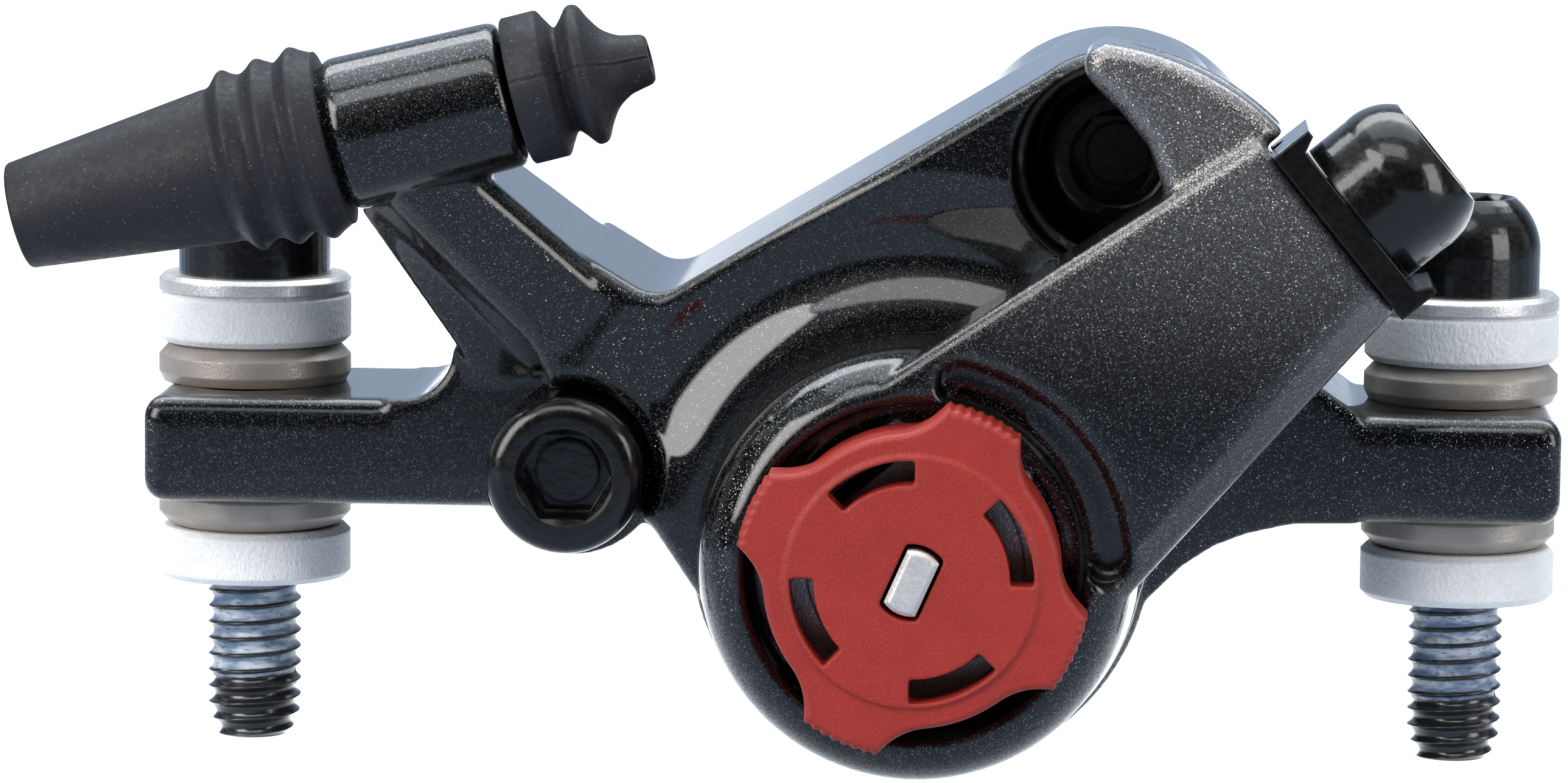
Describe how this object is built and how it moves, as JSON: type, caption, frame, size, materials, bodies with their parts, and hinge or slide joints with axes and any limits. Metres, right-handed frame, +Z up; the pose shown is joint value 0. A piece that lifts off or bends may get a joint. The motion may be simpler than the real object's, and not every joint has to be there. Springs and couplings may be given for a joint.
{
  "type": "bicycle disc brake caliper",
  "caption": "Cable-pulled disc brake caliper with a swinging arm, red adjusting knobs, rubber boots and post-mount bolts.",
  "frame": {"origin": "midway between the two mounting bolts, on the plane where the lower washers meet the post faces", "axes": "+X along the line of the mounting bolts towards the lever arm's end, +Y from the arm side towards the wheel, +Z up along the mounting bolts"},
  "size_m": [0.0927, 0.0535, 0.0467],
  "materials": {
    "gloss_black_paint": "gloss",
    "black_steel": "gloss",
    "satin_steel": "satin",
    "light_alloy": "matte",
    "black_rubber": "matte",
    "red_plastic": "matte",
    "pale_plastic": "matte",
    "bright_steel": "satin",
    "friction_lining": "matte"
  },
  "bodies": {
    "caliper": {"outboard_half": "gloss_black_paint", "inboard_half": "gloss_black_paint", "body_bolts": "black_steel", "convex_washers_upper": "satin_steel", "concave_washers_upper": "light_alloy", "flat_washers": "bright_steel", "convex_washers_lower": "satin_steel", "concave_washers_lower": "light_alloy", "mount_bolts": "black_steel", "housing_boot": "black_rubber", "cable_boot": "black_rubber", "thrust_washer": "bright_steel", "dust_seal": "black_rubber", "pad_spreader": "bright_steel"},
    "arm": {"actuator_arm": "gloss_black_paint", "cable_clamp": "black_steel", "cable_anchor_bolt": "black_steel", "drive_cam": "bright_steel", "arm_nut": "bright_steel", "return_spring": "bright_steel"},
    "balls": {"cam_balls": "bright_steel", "ball_cage": "pale_plastic"},
    "thrust": {"thrust_cam": "bright_steel"},
    "outboard_adjuster": {"outboard_knob": "red_plastic"},
    "outboard_pad": {"pressure_foot": "bright_steel", "outboard_pad_plate": "bright_steel", "outboard_lining": "friction_lining"},
    "outboard_screw": {"foot_screw": "bright_steel"},
    "inboard_pad": {"inboard_pad_plate": "bright_steel", "inboard_lining": "friction_lining"},
    "inboard_adjuster": {"inboard_foot_screw": "bright_steel", "inboard_knob": "red_plastic"}
  },
  "joints": [
    {"name": "arm_pivot", "type": "hinge", "parent": "caliper", "child": "arm", "pos_m": [0.00445, 0, 0.0039], "axis": [0, -1, 0], "range_deg": [0, 30], "stiffness_Nm_per_rad": 0.15, "springref_deg": -17.19, "deforming": ["return_spring"]},
    {"name": "ball_roll", "type": "hinge", "parent": "caliper", "child": "balls", "pos_m": [0.00445, 0, 0.0039], "axis": [0, -1, 0], "range_deg": [0, 15]},
    {"name": "thrust_slide", "type": "slide", "parent": "caliper", "child": "thrust", "axis": [0, 1, 0], "range_m": [0, 0.001]},
    {"name": "outboard_knob_turn", "type": "hinge", "parent": "caliper", "child": "outboard_adjuster", "pos_m": [0.00445, 0, 0.0039], "axis": [0, 1, 0], "range_deg": [-180, 180]},
    {"name": "outboard_pad_slide", "type": "slide", "parent": "thrust", "child": "outboard_pad", "axis": [0, 1, 0], "range_m": [-0.0005, 0.0005], "deforming": ["pad_spreader"]},
    {"name": "outboard_screw_turn", "type": "hinge", "parent": "outboard_pad", "child": "outboard_screw", "pos_m": [0.00445, 0, 0.0039], "axis": [0, 1, 0], "range_deg": [-180, 180]},
    {"name": "inboard_pad_slide", "type": "slide", "parent": "caliper", "child": "inboard_pad", "axis": [0, -1, 0], "range_m": [-0.0005, 0.0005]},
    {"name": "inboard_knob_turn", "type": "hinge", "parent": "inboard_pad", "child": "inboard_adjuster", "pos_m": [0.00445, 0, 0.0039], "axis": [0, -1, 0], "range_deg": [-180, 180]}
  ],
  "couplings": [
    {"joint": "ball_roll", "follows": "arm_pivot", "ratio": 0.5},
    {"joint": "thrust_slide", "follows": "arm_pivot", "m_per_rad": 0.0019098},
    {"joint": "outboard_knob_turn", "follows": "outboard_pad_slide", "rad_per_m": 6283.2},
    {"joint": "outboard_screw_turn", "follows": "outboard_pad_slide", "rad_per_m": 6283.2},
    {"joint": "inboard_knob_turn", "follows": "inboard_pad_slide", "rad_per_m": 6283.2}
  ]
}
